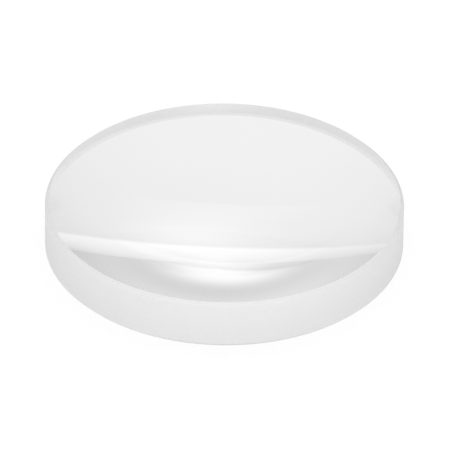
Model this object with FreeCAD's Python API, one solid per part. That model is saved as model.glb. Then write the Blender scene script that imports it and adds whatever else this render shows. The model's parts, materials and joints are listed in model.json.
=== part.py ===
import FreeCAD, Part
import math
import os

# A biconvex lens, ground and polished from one disc of crown glass.
# Its two polished faces are spherical caps of one radius. They meet a finely ground cylindrical edge
# at two narrow protective bevels, which are ground at 45 degrees to keep the corners from chipping.
# Millimetres. +Z runs up the optical axis. The origin lies on it, midway between the faces' vertices.

# Driving dimensions
DIAMETER = 25.0  # across the ground edge
GROUND_EDGE_HEIGHT = 3.1  # height of the ground cylinder, between the two bevels
BEVEL_LEG = 0.25  # each bevel takes this much off the diameter's half and off the edge's height
FACE_RADIUS = 61.0  # radius of curvature of both polished faces

# Sizes that follow from them
EDGE_RADIUS = DIAMETER / 2
FACE_EDGE_RADIUS = EDGE_RADIUS - BEVEL_LEG  # where a polished face ends and its bevel starts
BEVEL_FOOT_Z = GROUND_EDGE_HEIGHT / 2  # where a bevel meets the ground cylinder
FACE_EDGE_Z = BEVEL_FOOT_Z + BEVEL_LEG

ORIGIN = FreeCAD.Vector(0, 0, 0)
OPTICAL_AXIS = FreeCAD.Vector(0, 0, 1)
FULL_TURN_DEG = 360
UPPER = 1
LOWER = -1


def height_above_face_edge(distance_from_axis):
    """How far a face rises above its own edge, at this distance from the optical axis.

    Both heights are measured from the face's centre of curvature, so their difference is the rise.
    """
    height_at_this_distance = math.sqrt(FACE_RADIUS**2 - distance_from_axis**2)
    height_at_the_face_edge = math.sqrt(FACE_RADIUS**2 - FACE_EDGE_RADIUS**2)
    return height_at_this_distance - height_at_the_face_edge


def section_point(distance_from_axis, height):
    """A point of the half section, which is drawn in the XZ plane."""
    return FreeCAD.Vector(distance_from_axis, 0, height)


def face_point(side, distance_from_axis):
    """A point of the half section on the upper or lower polished face."""
    height = FACE_EDGE_Z + height_above_face_edge(distance_from_axis)
    return section_point(distance_from_axis, side * height)


def face_arc(side):
    """The arc of a polished face, from its vertex on the axis out to its edge."""
    vertex = face_point(side, 0)
    halfway = face_point(side, FACE_EDGE_RADIUS / 2)
    edge = face_point(side, FACE_EDGE_RADIUS)
    return Part.Arc(vertex, halfway, edge).toShape()


def bevel_line(side):
    """The 45 degree bevel, from the edge of a polished face down to the ground cylinder."""
    face_edge = face_point(side, FACE_EDGE_RADIUS)
    foot = section_point(EDGE_RADIUS, side * BEVEL_FOOT_Z)
    return Part.makeLine(face_edge, foot)


def ground_edge_line():
    """The ground cylinder's straight side, between the feet of the two bevels."""
    upper_foot = section_point(EDGE_RADIUS, UPPER * BEVEL_FOOT_Z)
    lower_foot = section_point(EDGE_RADIUS, LOWER * BEVEL_FOOT_Z)
    return Part.makeLine(upper_foot, lower_foot)


def axis_line():
    """The line that closes the half section along the optical axis."""
    return Part.makeLine(face_point(LOWER, 0), face_point(UPPER, 0))


def make_lens():
    """Turn the half section once round the optical axis."""
    outline = [
        face_arc(UPPER),
        bevel_line(UPPER),
        ground_edge_line(),
        bevel_line(LOWER),
        face_arc(LOWER),
        axis_line(),
    ]
    half_section = Part.Face(Part.Wire(outline))
    return half_section.revolve(ORIGIN, OPTICAL_AXIS, FULL_TURN_DEG)


os.makedirs("parts", exist_ok=True)
make_lens().exportStep("parts/lens.step")
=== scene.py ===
import json
import math

import bpy
import numpy as np
from mathutils import Matrix, Vector


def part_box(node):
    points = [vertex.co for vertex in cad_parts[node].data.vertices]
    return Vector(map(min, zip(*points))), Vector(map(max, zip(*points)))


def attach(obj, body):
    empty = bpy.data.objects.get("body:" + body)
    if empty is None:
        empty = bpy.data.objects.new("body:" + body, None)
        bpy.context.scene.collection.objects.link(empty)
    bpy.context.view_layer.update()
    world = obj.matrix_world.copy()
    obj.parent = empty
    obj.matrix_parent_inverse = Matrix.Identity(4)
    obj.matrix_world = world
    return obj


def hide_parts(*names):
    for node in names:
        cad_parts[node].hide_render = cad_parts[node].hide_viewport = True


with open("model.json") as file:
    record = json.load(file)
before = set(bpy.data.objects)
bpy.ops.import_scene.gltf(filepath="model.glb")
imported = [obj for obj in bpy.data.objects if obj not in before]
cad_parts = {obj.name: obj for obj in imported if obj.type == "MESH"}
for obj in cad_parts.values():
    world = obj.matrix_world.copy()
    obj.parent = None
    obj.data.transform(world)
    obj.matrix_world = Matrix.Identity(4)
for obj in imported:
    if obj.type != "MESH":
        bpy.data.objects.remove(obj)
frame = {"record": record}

# A biconvex lens of crown glass: two polished spherical faces, two narrow protective bevels and a finely
# ground cylindrical edge. It lies on a pale table inside a light tent. Metres, +Z up the optical axis.

# Sizes of the lens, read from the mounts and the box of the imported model
MM = 0.001
MOUNTS = {mount["name"]: mount["dims"] for mount in frame["record"]["mounts"]}
EDGE_RADIUS = MOUNTS["rim"]["r_mm"] * MM
BEVEL_FOOT_Z = MOUNTS["rim"]["length_mm"] * MM / 2
FACE_EDGE_RADIUS = MOUNTS["upper_seat"]["r_mm"] * MM
FACE_EDGE_Z = BEVEL_FOOT_Z + EDGE_RADIUS - FACE_EDGE_RADIUS
LOWEST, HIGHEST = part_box("lens")
VERTEX_Z = HIGHEST.z
RISE = VERTEX_Z - FACE_EDGE_Z
FACE_RADIUS = (FACE_EDGE_RADIUS**2 + RISE**2) / (2 * RISE)
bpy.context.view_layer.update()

# How finely the surface is cut
SEGMENTS = 384
FACE_RINGS = 72
EDGE_RINGS = 8

# White, for whatever has no tone of its own
WHITE = "FFFFFF"

# Polished and ground glass
CROWN_INDEX = 1.5168
COATING_SHARE = 0.1
# Ground glass colours, painted light and shade by height: a darker shade at the lower face, paler at the top
# of the edge and of the bevels
GROUND_PAINTED_LOW_SHADE = "E2E2E2"
EDGE_PAINTED_TOP_LIGHT = "EAEAEA"
BEVEL_TOP_PAINTED_SHADE = "E6E6E6"
GRIT_SHADE = "F8F8F8"
GRIT_SIZE = 0.2 * MM
GRIT_DEPTH = 0.01 * MM
GRIT_DETAIL = 2.0
GRIT_STRENGTH = 0.2
GROUND_ROUGHNESS = 0.6
SHEEN_ROUGHNESS = 0.2
EDGE_SHEEN = 0.2
BEVEL_SHEEN = 0.1

# Table top: the shade that lights the lens, and the darker one that with its glow is seen
TABLE_HALF = 1.5
TABLE_SHADE = "F0F0F0"
TABLE_SEEN_SHADE = "606060"
TABLE_GLOW = 0.9

# Camera. The field of view is counted in lens diameters and the sensor in millimetres.
CAMERA_ELEVATION = math.radians(34.52)
CAMERA_DISTANCE = 0.6675
CAMERA_ROLL = 0.0106
AIM_RIGHT = 0.013 * MM
AIM_DOWN = 0.124 * MM
FIELD_DIAMETERS = 1.2519
FIELD_WIDTH = FIELD_DIAMETERS * 2 * EDGE_RADIUS
SENSOR_WIDTH = 36.0
NEAREST_SEEN = 0.07
FARTHEST_SEEN = 13.0

# The light tent as the lens sees it. Brightness 1 is white.
TENT_BRIGHTNESS = 0.815

# Soft patches of the tent: azimuth and elevation of the middle and the angle from it at which the patch has
# faded to about a third, in degrees, and the brightness that it adds or, below nought, takes away. The
# table ahead is bright, with a brighter spot, and it is dimmer to the right and left and over the horizon.
# Light from low behind the camera and from underneath fills in the ground edge and the bevels.
TABLE_AHEAD = (0.0, -37.7, 47.5, 0.470)
SPOT_AHEAD = (3.0, -24.7, 5.6, 0.122)
DIM_RIGHT = (41.6, -26.7, 50.1, -0.389)
DIM_LEFT = (-41.6, -26.7, 47.1, -0.323)
DIM_HIGH = (0.0, 26.1, 27.4, -0.399)
LOW_BEHIND = (170.0, -23.0, 24.0, 0.65)
UNDER_BEHIND = (180.0, -70.0, 20.0, 0.2)
UNDER_RIGHT = (90.0, -65.0, 20.0, 0.2)
UNDER_LEFT = (-90.0, -65.0, 20.0, 0.2)
PATCHES_AHEAD = (TABLE_AHEAD, SPOT_AHEAD, DIM_RIGHT, DIM_LEFT, DIM_HIGH)
PATCHES = (*PATCHES_AHEAD, LOW_BEHIND, UNDER_BEHIND, UNDER_RIGHT, UNDER_LEFT)

# The half of the tent behind the camera is brighter. That sets in about the level of the lens and fades
# with height.
BEHIND_BLUR = 0.2
BEHIND_START = -0.2
BEHIND_FULL = 0.1
BEHIND_GLOW = 0.54
BEHIND_TOP_GLOW = 0.36

# What stands in the tent ahead of the lens is laid out on an upright sheet one unit away, across to the
# right and up from the level of the lens. An edge is its height in the middle and its slope.
AHEAD_BLUR = 0.2
LEAST_DEPTH = 0.01

# The bright ground beyond the end of the table, brightest in the middle and again low down at the sides
TABLE_END = (-0.374, -0.141)
TABLE_END_BLUR = 0.018
GROUND_TOP = 0.129
GROUND_FULL = 0.003
GROUND_EVEN = 0.025
GROUND_GLOW = 0.176
GROUND_CENTRE = 0.049
GROUND_WIDTH = 0.152
GROUND_LOW_WIDTH = 0.3605
GROUND_LOW = -0.5
GROUND_SHAPE = 1.49
SIDES_START = 0.15
SIDES_FULL = 0.6
SIDES_GLOW = 0.183
SIDES_HEIGHT = -0.343
SIDES_SIZE = 0.098

# The haze over the horizon
HAZE_CENTRE = (-0.012, 0.343)
HAZE_SIZE = (0.556, 0.371)
HAZE_GLOW = 0.426

# The lamp panel under its two upper edges, and the dark gap over them
PANEL_EDGES = ((1.001, -0.011), (0.985, 0.206))
PANEL_EDGE_BLUR = 0.02
PANEL_CENTRE = (-0.011, 0.874)
PANEL_SIZE = (0.475, 0.175)
PANEL_SHAPE = 1.234
PANEL_GLOW = 0.462
GAP_BRIGHTNESS = 0.1
GAP_CENTRE = (0.053, 0.0)
GAP_SIZE = (0.415, 1.238)


def linear(hex_colour):
    """The linear RGBA of an sRGB hex colour such as E8EAEA."""
    channels = [int(hex_colour[i : i + 2], 16) / 255 for i in (0, 2, 4)]
    return (*[c / 12.92 if c <= 0.04045 else ((c + 0.055) / 1.055) ** 2.4 for c in channels], 1.0)


def add(tree, kind, inputs=(), **settings):
    """Adds a node, sets its properties, and sets or links each of its inputs."""
    node = tree.nodes.new(kind)
    for name, value in settings.items():
        setattr(node, name, value)
    for socket, value in dict(inputs).items():
        if isinstance(value, bpy.types.NodeSocket):
            tree.links.new(value, node.inputs[socket])
        else:
            node.inputs[socket].default_value = value
    return node


def direction(azimuth, elevation):
    """The unit vector that points to an azimuth, from +Y towards +X, and an elevation, in degrees."""
    a, e = math.radians(azimuth), math.radians(elevation)
    return (math.sin(a) * math.cos(e), math.cos(a) * math.cos(e), math.sin(e))


def lens_profile():
    """Radius and height of each ring from the upper vertex to the lower one, and the rings that are sharp.

    A face's height is its vertex less the sagitta, R - sqrt(R^2 - r^2). Its radii follow the sine of an
    even angle, so the rings close up towards the bevel.
    """
    r = FACE_EDGE_RADIUS * np.sin(np.linspace(0, math.pi / 2, FACE_RINGS + 1))
    z = VERTEX_Z - FACE_RADIUS + np.sqrt(FACE_RADIUS**2 - r**2)
    edge_z = np.linspace(BEVEL_FOOT_Z, -BEVEL_FOOT_Z, EDGE_RINGS + 1)
    radii = np.concatenate([r, np.full(EDGE_RINGS + 1, EDGE_RADIUS), r[::-1]])
    heights = np.concatenate([z, edge_z, -z[::-1]])
    upper_edge = FACE_RINGS
    lower_edge = len(radii) - 1 - FACE_RINGS
    return radii, heights, (upper_edge, upper_edge + 1, lower_edge - 1, lower_edge)


def revolve(name, radii, heights, sharp_rings):
    """A closed surface of revolution: ring i at radius r_i and height z_i, turned through even angles.

    The first and last rings are single points, closed by fans of triangles; the rest is quads that face
    outwards. Edges along the sharp rings split the smooth shading.
    """
    inner = len(radii) - 2
    angle = np.linspace(0, 2 * math.pi, SEGMENTS, endpoint=False)
    x = np.outer(radii[1:-1], np.cos(angle))
    y = np.outer(radii[1:-1], np.sin(angle))
    z = np.repeat(heights[1:-1, None], SEGMENTS, axis=1)
    body = np.stack([x, y, z], axis=-1).reshape(-1, 3)
    points = np.concatenate([[[0, 0, heights[0]]], body, [[0, 0, heights[-1]]]])
    ring = np.concatenate([[0], np.repeat(np.arange(1, inner + 1), SEGMENTS), [inner + 1]])

    grid = 1 + np.arange(inner * SEGMENTS).reshape(inner, SEGMENTS)
    after = np.roll(grid, -1, axis=1)
    quads = np.stack([grid[:-1], grid[1:], after[1:], after[:-1]], axis=-1).reshape(-1, 4)
    top_fan = np.stack([np.zeros(SEGMENTS, int), grid[0], after[0]], axis=-1)
    bottom_fan = np.stack([np.full(SEGMENTS, len(points) - 1), after[-1], grid[-1]], axis=-1)

    mesh = bpy.data.meshes.new(name)
    mesh.from_pydata(points.tolist(), [], top_fan.tolist() + quads.tolist() + bottom_fan.tolist())
    ends = np.zeros(len(mesh.edges) * 2, np.int32)
    mesh.edges.foreach_get("vertices", ends)
    ends = ring[ends.reshape(-1, 2)]
    sharp = (ends[:, 0] == ends[:, 1]) & np.isin(ends[:, 0], sharp_rings)
    mesh.shade_smooth()
    mesh.attributes.new("sharp_edge", "BOOLEAN", "EDGE").data.foreach_set("value", sharp)
    return mesh


def polished_crown_glass():
    """Crown glass, pitch polished and coated: clear, and so smooth that it shows only what it bends.

    The coating leaves a tenth of the bare glass's faint mirror image, so the view through it stays clean.
    """
    material = bpy.data.materials.new("crown_glass_polished")
    material.use_nodes = True
    shader = material.node_tree.nodes["Principled BSDF"]
    shader.inputs["Base Color"].default_value = linear(WHITE)
    shader.inputs["Roughness"].default_value = 0.0
    shader.inputs["IOR"].default_value = CROWN_INDEX
    shader.inputs["Transmission Weight"].default_value = 1.0
    shader.inputs["Specular Tint"].default_value = (COATING_SHARE, COATING_SHARE, COATING_SHARE, 1.0)
    return material


def ground_crown_glass(name, painted_top_light, sheen_share):
    """Crown glass ground with loose abrasive: matt and pale from outside, an even frost from within.

    From outside it scatters the light back. Its colour is painted light and shade by height: a shade paler
    near the upper face, for the light inside the glass that comes out there, and darker towards the lower
    face. From within it passes on the light that falls on its other side and keeps a share of sheen. The
    grit marks, a few hundredths of a millimetre wide, are drawn a fifth of a millimetre wide to show.
    """
    material = bpy.data.materials.new(name)
    material.use_nodes = True
    tree = material.node_tree
    place = add(tree, "ShaderNodeTexCoord").outputs["Object"]
    grit = {"Vector": place, "Scale": 1 / GRIT_SIZE, "Detail": GRIT_DETAIL}
    grit = add(tree, "ShaderNodeTexNoise", grit).outputs["Fac"]
    bump = {"Height": grit, "Strength": GRIT_STRENGTH, "Distance": GRIT_DEPTH}
    bump = add(tree, "ShaderNodeBump", bump).outputs["Normal"]
    # Painted light and shade: the colour runs by height from the darker shade at the lower face to the paler
    # one at the upper face
    height = add(tree, "ShaderNodeSeparateXYZ", {0: place}).outputs["Z"]
    height = {"Value": height, "From Min": -FACE_EDGE_Z, "From Max": FACE_EDGE_Z}
    height = add(tree, "ShaderNodeMapRange", height).outputs[0]
    shade = {0: height, 6: linear(GROUND_PAINTED_LOW_SHADE), 7: linear(painted_top_light)}
    shade = add(tree, "ShaderNodeMix", shade, data_type="RGBA").outputs[2]
    speckle = {0: grit, 6: linear(GRIT_SHADE), 7: linear(WHITE)}
    speckle = add(tree, "ShaderNodeMix", speckle, data_type="RGBA").outputs[2]
    tone = {0: 1.0, 6: shade, 7: speckle}
    tone = add(tree, "ShaderNodeMix", tone, data_type="RGBA", blend_type="MULTIPLY").outputs[2]

    frost = tree.nodes["Principled BSDF"]
    tree.links.new(tone, frost.inputs["Base Color"])
    tree.links.new(bump, frost.inputs["Normal"])
    frost.inputs["Roughness"].default_value = GROUND_ROUGHNESS
    frost.inputs["IOR"].default_value = CROWN_INDEX

    passed_on = add(tree, "ShaderNodeBsdfTranslucent", {"Color": linear(WHITE)}).outputs[0]
    sheen = {"Color": linear(WHITE), "Roughness": SHEEN_ROUGHNESS}
    sheen = add(tree, "ShaderNodeBsdfAnisotropic", sheen).outputs[0]
    within = add(tree, "ShaderNodeMixShader", {0: sheen_share, 1: passed_on, 2: sheen}).outputs[0]
    side = add(tree, "ShaderNodeNewGeometry").outputs["Backfacing"]
    surface = add(tree, "ShaderNodeMixShader", {0: side, 1: frost.outputs[0], 2: within}).outputs[0]
    tree.links.new(surface, tree.nodes["Material Output"].inputs["Surface"])
    return material


def make_lens():
    """The lens as one closed mesh: polished faces, ground edge and the ground bevels, their tops painted a
    little darker.
    """
    radii, heights, sharp_rings = lens_profile()
    mesh = revolve("lens_glass", radii, heights, sharp_rings)
    mesh.materials.append(polished_crown_glass())
    mesh.materials.append(ground_crown_glass("crown_glass_ground", EDGE_PAINTED_TOP_LIGHT, EDGE_SHEEN))
    # The bevels' copy of the ground glass has its top painted a shade darker than the edge's, painted shade
    # where the bevels face up into more light, and less sheen within
    mesh.materials.append(ground_crown_glass("crown_glass_ground_bevel_painted_shade", BEVEL_TOP_PAINTED_SHADE, BEVEL_SHEEN))
    centre = np.zeros(len(mesh.polygons) * 3)
    mesh.polygons.foreach_get("center", centre)
    x, y, z = centre.reshape(-1, 3).T
    ground = np.hypot(x, y) > FACE_EDGE_RADIUS
    bevel = ground & (np.abs(z) > BEVEL_FOOT_Z)
    mesh.polygons.foreach_set("material_index", ground.astype(np.int32) + bevel)
    lens = bpy.data.objects.new("lens_glass", mesh)
    bpy.context.scene.collection.objects.link(lens)
    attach(lens, "root")
    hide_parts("lens")


def table_top_white():
    """White laminate, pressed matt: the eye sees clean white with the lens's soft shadow on it.

    Light that comes through the lens, or from below, passes it and meets the tent instead.
    """
    material = bpy.data.materials.new("table_top_white_laminate")
    material.use_nodes = True
    tree = material.node_tree
    tree.nodes.clear()
    path = add(tree, "ShaderNodeLightPath").outputs
    side = add(tree, "ShaderNodeNewGeometry").outputs["Backfacing"]
    bounce = add(tree, "ShaderNodeBsdfDiffuse", {"Color": linear(TABLE_SHADE)}).outputs[0]
    matt = add(tree, "ShaderNodeBsdfDiffuse", {"Color": linear(TABLE_SEEN_SHADE)}).outputs[0]
    glow = {"Color": linear(WHITE), "Strength": TABLE_GLOW}
    glow = add(tree, "ShaderNodeEmission", glow).outputs[0]
    seen = add(tree, "ShaderNodeAddShader", {0: matt, 1: glow}).outputs[0]
    looks = {0: path["Is Camera Ray"], 1: path["Is Glossy Ray"]}
    looks = add(tree, "ShaderNodeMath", looks, operation="MAXIMUM").outputs[0]
    top = add(tree, "ShaderNodeMixShader", {0: looks, 1: bounce, 2: seen}).outputs[0]
    passes = {0: path["Is Transmission Ray"], 1: side}
    passes = add(tree, "ShaderNodeMath", passes, operation="MAXIMUM").outputs[0]
    clear = add(tree, "ShaderNodeBsdfTransparent").outputs[0]
    surface = add(tree, "ShaderNodeMixShader", {0: passes, 1: top, 2: clear}).outputs[0]
    add(tree, "ShaderNodeOutputMaterial", {"Surface": surface})
    return material


def make_floor():
    """The table top, a flat square under the lowest point of the lens."""
    low, high, level = -TABLE_HALF, TABLE_HALF, LOWEST.z
    corners = [(low, low, level), (high, low, level), (high, high, level), (low, high, level)]
    mesh = bpy.data.meshes.new("table_top")
    mesh.from_pydata(corners, [], [(0, 1, 2, 3)])
    mesh.materials.append(table_top_white())
    floor = bpy.data.objects.new("table_top", mesh)
    bpy.context.scene.collection.objects.link(floor)


def bell(tree, square, shape=1.0):
    """A bell curve, exp(-square^shape), of a squared distance."""
    power = add(tree, "ShaderNodeMath", {0: square, 1: shape}, operation="POWER").outputs[0]
    return add(tree, "ShaderNodeMath", {0: 1 / math.e, 1: power}, operation="POWER").outputs[0]


def spot(tree, across, up, centre, size, shape=1.0):
    """A soft oval spot: the bell curve of the squared distance from its centre, measured in its sizes."""
    place = add(tree, "ShaderNodeCombineXYZ", {"X": across, "Y": up}).outputs[0]
    place = {"Vector": place, "Location": (*centre, 0.0), "Scale": (*size, 1.0)}
    away = add(tree, "ShaderNodeMapping", place, vector_type="TEXTURE").outputs[0]
    square = add(tree, "ShaderNodeVectorMath", {0: away, 1: away}, operation="DOT_PRODUCT").outputs["Value"]
    return bell(tree, square, shape)


def over_edge(tree, across, up, edge):
    """How far up a point lies from a straight edge, whose height is in the middle plus slope x across."""
    height, slope = edge
    level = {0: across, 1: slope, 2: height}
    level = add(tree, "ShaderNodeMath", level, operation="MULTIPLY_ADD").outputs[0]
    return add(tree, "ShaderNodeMath", {0: up, 1: level}, operation="SUBTRACT").outputs[0]


def patches(tree, ray):
    """The even tent and its patches, each a bell curve of one less the cosine of the angle to its middle."""
    light = TENT_BRIGHTNESS
    for azimuth, elevation, width, strength in PATCHES:
        towards = {0: ray, 1: direction(azimuth, elevation)}
        cosine = add(tree, "ShaderNodeVectorMath", towards, operation="DOT_PRODUCT").outputs["Value"]
        spread = 1 / (1 - math.cos(math.radians(width)))
        away = {0: cosine, 1: -spread, 2: spread}
        away = add(tree, "ShaderNodeMath", away, operation="MULTIPLY_ADD").outputs[0]
        light = {0: bell(tree, away), 1: strength, 2: light}
        light = add(tree, "ShaderNodeMath", light, operation="MULTIPLY_ADD").outputs[0]
    return light


def half_behind(tree, y, z):
    """The brighter half of the tent behind the camera, from about the level of the lens up."""
    behind = {"Value": y, "From Min": 0.0, "From Max": -BEHIND_BLUR}
    behind = add(tree, "ShaderNodeMapRange", behind, interpolation_type="SMOOTHSTEP").outputs[0]
    over_table = {"Value": z, "From Min": BEHIND_START, "From Max": BEHIND_FULL}
    over_table = add(tree, "ShaderNodeMapRange", over_table, interpolation_type="SMOOTHSTEP").outputs[0]
    place = add(tree, "ShaderNodeMath", {0: behind, 1: over_table}, operation="MULTIPLY").outputs[0]
    glow = {"Value": z, "To Min": BEHIND_GLOW, "To Max": BEHIND_TOP_GLOW}
    glow = add(tree, "ShaderNodeMapRange", glow).outputs[0]
    return add(tree, "ShaderNodeMath", {0: place, 1: glow}, operation="MULTIPLY").outputs[0]


def bright_ground(tree, across, up):
    """The bright ground from the end of the table to the horizon."""
    width = {"Value": up, "From Min": 0.0, "From Max": GROUND_LOW, "To Min": GROUND_WIDTH}
    width = add(tree, "ShaderNodeMapRange", {**width, "To Max": GROUND_LOW_WIDTH}).outputs[0]
    middle = add(tree, "ShaderNodeMath", {0: across, 1: GROUND_CENTRE}, operation="SUBTRACT").outputs[0]
    middle = add(tree, "ShaderNodeMath", {0: middle, 1: width}, operation="DIVIDE").outputs[0]
    middle = add(tree, "ShaderNodeMath", {0: middle, 1: middle}, operation="MULTIPLY").outputs[0]
    middle = {0: bell(tree, middle, GROUND_SHAPE), 1: GROUND_GLOW, 2: GROUND_EVEN}
    middle = add(tree, "ShaderNodeMath", middle, operation="MULTIPLY_ADD").outputs[0]

    aside = add(tree, "ShaderNodeMath", {0: across}, operation="ABSOLUTE").outputs[0]
    aside = {"Value": aside, "From Min": SIDES_START, "From Max": SIDES_FULL, "To Max": SIDES_GLOW}
    aside = add(tree, "ShaderNodeMapRange", aside, interpolation_type="SMOOTHSTEP").outputs[0]
    low = spot(tree, 0.0, up, (0.0, SIDES_HEIGHT), (1.0, SIDES_SIZE))
    glow = {0: aside, 1: low, 2: middle}
    glow = add(tree, "ShaderNodeMath", glow, operation="MULTIPLY_ADD").outputs[0]

    near = {"Value": over_edge(tree, across, up, TABLE_END), "From Min": -TABLE_END_BLUR}
    near = {**near, "From Max": TABLE_END_BLUR}
    near = add(tree, "ShaderNodeMapRange", near, interpolation_type="SMOOTHSTEP").outputs[0]
    far = {"Value": up, "From Min": GROUND_TOP, "From Max": GROUND_FULL}
    far = add(tree, "ShaderNodeMapRange", far, interpolation_type="SMOOTHSTEP").outputs[0]
    place = add(tree, "ShaderNodeMath", {0: near, 1: far}, operation="MULTIPLY").outputs[0]
    return add(tree, "ShaderNodeMath", {0: glow, 1: place}, operation="MULTIPLY").outputs[0]


def haze(tree, across, up):
    """The haze over the horizon."""
    glow = {0: spot(tree, across, up, HAZE_CENTRE, HAZE_SIZE), 1: HAZE_GLOW}
    return add(tree, "ShaderNodeMath", glow, operation="MULTIPLY").outputs[0]


def lamp_panel(tree, across, up, over):
    """The lamp panel, which ends sharply at its upper edges and fades downwards and to the sides."""
    lower = add(tree, "ShaderNodeMath", {0: up, 1: PANEL_CENTRE[1]}, operation="MINIMUM").outputs[0]
    panel = spot(tree, across, lower, PANEL_CENTRE, PANEL_SIZE, PANEL_SHAPE)
    under = {"Value": over, "From Min": PANEL_EDGE_BLUR, "From Max": -PANEL_EDGE_BLUR, "To Max": PANEL_GLOW}
    under = add(tree, "ShaderNodeMapRange", under, interpolation_type="SMOOTHSTEP").outputs[0]
    return add(tree, "ShaderNodeMath", {0: panel, 1: under}, operation="MULTIPLY").outputs[0]


def dark_gap(tree, across, over):
    """How much of the dark gap over the lamp panel covers a point, from 0 to 1."""
    higher = add(tree, "ShaderNodeMath", {0: over, 1: 0.0}, operation="MAXIMUM").outputs[0]
    gap = spot(tree, across, higher, GAP_CENTRE, GAP_SIZE)
    above = {"Value": over, "From Min": -PANEL_EDGE_BLUR, "From Max": PANEL_EDGE_BLUR}
    above = add(tree, "ShaderNodeMapRange", above, interpolation_type="SMOOTHSTEP").outputs[0]
    return add(tree, "ShaderNodeMath", {0: gap, 1: above}, operation="MULTIPLY").outputs[0]


def make_world():
    """The light tent round the lens. The camera itself sees plain white."""
    world = bpy.data.worlds.new("light_tent")
    bpy.context.scene.world = world
    world.use_nodes = True
    tree = world.node_tree
    tree.nodes.clear()
    ray = add(tree, "ShaderNodeTexCoord").outputs["Generated"]
    x, y, z = add(tree, "ShaderNodeSeparateXYZ", {0: ray}).outputs
    ahead = {"Value": y, "From Min": 0.0, "From Max": AHEAD_BLUR}
    ahead = add(tree, "ShaderNodeMapRange", ahead, interpolation_type="SMOOTHSTEP").outputs[0]
    depth = add(tree, "ShaderNodeMath", {0: y, 1: LEAST_DEPTH}, operation="MAXIMUM").outputs[0]
    across = add(tree, "ShaderNodeMath", {0: x, 1: depth}, operation="DIVIDE").outputs[0]
    up = add(tree, "ShaderNodeMath", {0: z, 1: depth}, operation="DIVIDE").outputs[0]
    over = dict(enumerate(over_edge(tree, across, up, edge) for edge in PANEL_EDGES))
    over = add(tree, "ShaderNodeMath", over, operation="MAXIMUM").outputs[0]

    light = {0: patches(tree, ray), 1: half_behind(tree, y, z)}
    light = add(tree, "ShaderNodeMath", light, operation="ADD").outputs[0]
    ground, over_horizon = bright_ground(tree, across, up), haze(tree, across, up)
    for glow in (ground, over_horizon, lamp_panel(tree, across, up, over)):
        light = {0: glow, 1: ahead, 2: light}
        light = add(tree, "ShaderNodeMath", light, operation="MULTIPLY_ADD").outputs[0]
    gap = {0: dark_gap(tree, across, over), 1: ahead}
    gap = add(tree, "ShaderNodeMath", gap, operation="MULTIPLY").outputs[0]
    light = add(tree, "ShaderNodeMix", {0: gap, 2: light, 3: GAP_BRIGHTNESS}).outputs[0]

    seen = add(tree, "ShaderNodeLightPath").outputs["Is Camera Ray"]
    tent = add(tree, "ShaderNodeBackground", {"Color": linear(WHITE), "Strength": light}).outputs[0]
    white = add(tree, "ShaderNodeBackground", {"Color": linear(WHITE), "Strength": 1.0}).outputs[0]
    surface = add(tree, "ShaderNodeMixShader", {0: seen, 1: tent, 2: white}).outputs[0]
    add(tree, "ShaderNodeOutputWorld", {"Surface": surface})


def make_camera():
    """The camera looks down at the lens from the front, turned a little about its line of sight."""
    data = bpy.data.cameras.new("camera")
    data.sensor_width = SENSOR_WIDTH
    data.lens = SENSOR_WIDTH * CAMERA_DISTANCE / FIELD_WIDTH
    data.clip_start = NEAREST_SEEN
    data.clip_end = FARTHEST_SEEN
    camera = bpy.data.objects.new("camera", data)
    bpy.context.scene.collection.objects.link(camera)
    back = Vector((0, -math.cos(CAMERA_ELEVATION), math.sin(CAMERA_ELEVATION)))
    level = Vector((1, 0, 0))
    rise = back.cross(level)
    right = level * math.cos(CAMERA_ROLL) + rise * math.sin(CAMERA_ROLL)
    up = rise * math.cos(CAMERA_ROLL) - level * math.sin(CAMERA_ROLL)
    place = back * CAMERA_DISTANCE + right * AIM_RIGHT - up * AIM_DOWN
    camera.matrix_world = Matrix.Translation(place) @ Matrix((right, up, back)).transposed().to_4x4()
    bpy.context.scene.camera = camera


make_camera()
make_lens()
make_floor()
make_world()
bpy.context.scene.view_settings.view_transform = "Standard"
